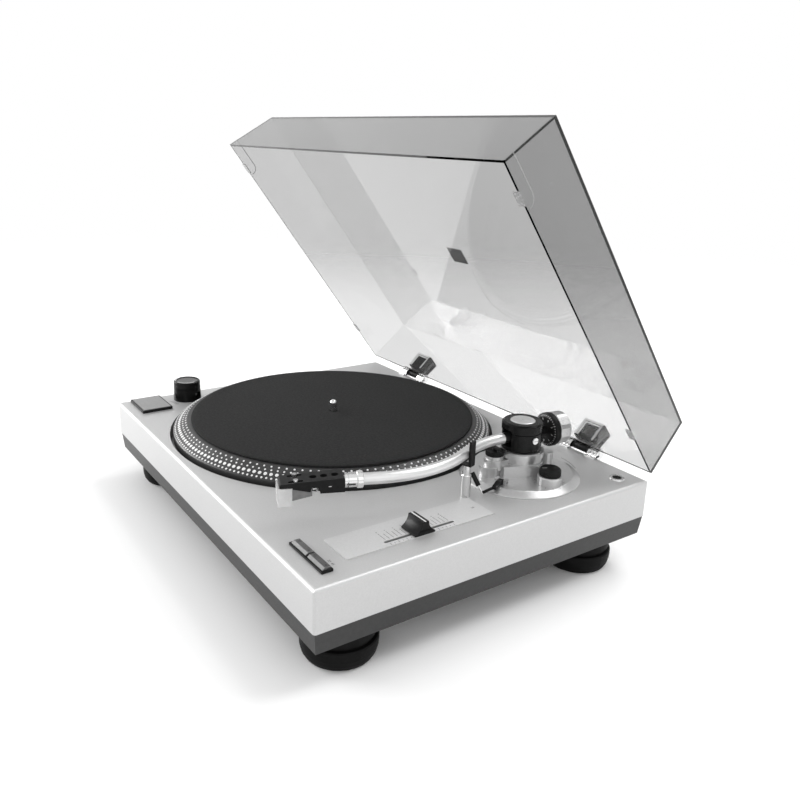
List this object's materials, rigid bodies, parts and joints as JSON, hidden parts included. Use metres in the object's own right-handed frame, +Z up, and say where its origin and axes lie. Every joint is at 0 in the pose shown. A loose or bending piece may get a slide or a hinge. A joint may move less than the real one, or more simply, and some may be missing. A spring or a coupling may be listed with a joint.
{
  "type": "dj turntable",
  "caption": "Belt-driven record player with a dotted platter, slipmat, S-shaped arm, pitch fader and a hinged smoked dust cover, on round feet.",
  "frame": {"origin": "on the table under the middle of the whole box, the cover standing open", "axes": "+X to the right seen from the front, +Y towards the hinges at the back, +Z up"},
  "size_m": [0.454, 0.3914, 0.3977],
  "materials": {
    "silver_paint": "satin silver paint",
    "dark_grey": "fine texture",
    "black_plastic": "satin",
    "black_rubber": "matt",
    "bright_steel": "bright",
    "chrome": "polished",
    "satin_aluminium": "satin",
    "bright_aluminium": "polished",
    "platter_grey": "dark anodised with bright dots",
    "felt": "felt",
    "smoked_clear": "clear, lightly smoked",
    "clear_plastic": "clear",
    "brass": "turned",
    "circuit_board": "gloss",
    "red_lamp": "clear red",
    "grey_plastic": "satin",
    "white_plastic": "satin",
    "supply_case": "plated"
  },
  "bodies": {
    "chassis": {"top_case": "silver_paint", "base_tray": "dark_grey", "feet": "black_rubber", "foot_screws": "bright_steel", "base_screws": "bright_steel", "start_bezel": "black_plastic", "speed_bezel": "black_plastic", "pitch_panel": "silver_paint", "strobe_tower": "black_plastic", "strobe_lamp": "red_lamp", "arm_plate": "satin_aluminium", "arm_mount": "satin_aluminium", "skate_post": "satin_aluminium", "rest_post": "satin_aluminium", "rest_clip": "black_plastic", "lifter_block": "black_plastic", "shell_socket": "bright_steel", "hinge_brackets": "chrome", "bearing_housing": "brass", "motor": "bright_steel", "belt": "black_rubber", "main_board": "circuit_board", "phono_board": "circuit_board", "power_supply": "supply_case", "start_switch": "circuit_board", "speed_switches": "circuit_board", "pitch_slider": "grey_plastic", "socket_plate": "black_plastic", "phono_sockets": "chrome", "usb_socket": "bright_steel", "earth_post": "brass", "mains_inlet": "black_plastic"},
    "platter": {"platter": "platter_grey", "slipmat": "felt", "spindle": "chrome"},
    "pulley": {"motor_pulley": "brass"},
    "cover": {"dust_cover": "smoked_clear", "hinge_leaves": "black_plastic", "cover_bumpers": "clear_plastic"},
    "arm_pivot": {"pivot_housing": "black_plastic", "pivot_cap": "satin_aluminium", "pivot_screws": "bright_steel"},
    "arm": {"arm_tube": "bright_aluminium", "headshell": "black_plastic", "cartridge": "grey_plastic", "shell_screws": "bright_steel"},
    "collar": {"locking_collar": "chrome"},
    "guard": {"stylus_guard": "clear_plastic"},
    "weight": {"counterweight": "chrome"},
    "dial": {"weight_dial": "black_plastic"},
    "skate": {"skate_knob": "black_plastic"},
    "cue": {"cue_lever": "black_plastic"},
    "lift_bar": {"lifter": "black_plastic"},
    "start": {"start_button": "grey_plastic"},
    "speed_33": {"speed_button_33": "grey_plastic"},
    "speed_45": {"speed_button_45": "grey_plastic"},
    "fader": {"pitch_fader": "black_plastic"},
    "power": {"power_cap": "black_plastic"},
    "line": {"line_switch": "white_plastic"}
  },
  "joints": [
    {"name": "platter_spin", "type": "hinge", "parent": "chassis", "child": "platter", "pos_m": [-0.0475, -0.02022, 0.0857], "axis": [0, 0, -1], "continuous": true},
    {"name": "pulley_spin", "type": "hinge", "parent": "chassis", "child": "pulley", "pos_m": [-0.1267, 0.05898, 0.0857], "axis": [0, 0, -1], "continuous": true},
    {"name": "cover_hinge", "type": "hinge", "parent": "chassis", "child": "cover", "pos_m": [0, 0.15738, 0.0882], "axis": [-1, 0, 0], "range_deg": [-53.3, 0]},
    {"name": "arm_swing", "type": "hinge", "parent": "chassis", "child": "arm_pivot", "pos_m": [0.152, 0.06028, 0.1242], "axis": [0, 0, -1], "range_deg": [0, 48]},
    {"name": "arm_lift", "type": "hinge", "parent": "arm_pivot", "child": "arm", "pos_m": [0.152, 0.06028, 0.1242], "axis": [-0.9976, 0.0698, 0], "range_deg": [-2.4, 8]},
    {"name": "collar_turn", "type": "hinge", "parent": "arm", "child": "collar", "pos_m": [0.15776, -0.12026, 0.1242], "axis": [-0.3746, -0.9272, 0], "range_deg": [0, 45]},
    {"name": "guard_slide", "type": "slide", "parent": "arm", "child": "guard", "axis": [-0.3746, -0.9272, 0], "range_m": [0, 0.014]},
    {"name": "weight_turn", "type": "hinge", "parent": "arm", "child": "weight", "pos_m": [0.15507, 0.10418, 0.1242], "axis": [-0.0698, -0.9976, 0], "range_deg": [-180, 180]},
    {"name": "dial_turn", "type": "hinge", "parent": "weight", "child": "dial", "pos_m": [0.15507, 0.10418, 0.1242], "axis": [-0.0698, -0.9976, 0], "range_deg": [-180, 180]},
    {"name": "skate_turn", "type": "hinge", "parent": "chassis", "child": "skate", "pos_m": [0.1894, 0.06098, 0.0987], "axis": [0, 0, 1], "range_deg": [0, 270]},
    {"name": "cue_turn", "type": "hinge", "parent": "chassis", "child": "cue", "pos_m": [0.16827, 0.02374, 0.0925], "axis": [-0.9135, -0.4067, 0], "range_deg": [0, 20]},
    {"name": "lifter_rise", "type": "slide", "parent": "chassis", "child": "lift_bar", "axis": [0, 0, 1], "range_m": [0, 0.00265]},
    {"name": "start_press", "type": "slide", "parent": "chassis", "child": "start", "axis": [0, 0, 1], "range_m": [-0.0015, 0], "stiffness_N_per_m": 400, "springref_m": 0.0008},
    {"name": "speed_33_press", "type": "slide", "parent": "chassis", "child": "speed_33", "axis": [0, 0, 1], "range_m": [-0.0012, 0], "stiffness_N_per_m": 400, "springref_m": 0.0008},
    {"name": "speed_45_press", "type": "slide", "parent": "chassis", "child": "speed_45", "axis": [0, 0, 1], "range_m": [-0.0012, 0], "stiffness_N_per_m": 400, "springref_m": 0.0008},
    {"name": "pitch_slide", "type": "slide", "parent": "chassis", "child": "fader", "axis": [0, 1, 0], "range_m": [-0.03, 0.03]},
    {"name": "power_turn", "type": "hinge", "parent": "chassis", "child": "power", "pos_m": [-0.201, -0.12372, 0.0991], "axis": [0, 0, 1], "range_deg": [0, 60]},
    {"name": "line_slide", "type": "slide", "parent": "chassis", "child": "line", "axis": [1, 0, 0], "range_m": [0, 0.005]}
  ],
  "couplings": [
    {"joint": "pulley_spin", "follows": "platter_spin", "ratio": 9.75},
    {"joint": "lifter_rise", "follows": "cue_turn", "m_per_rad": 0.0074485}
  ]
}
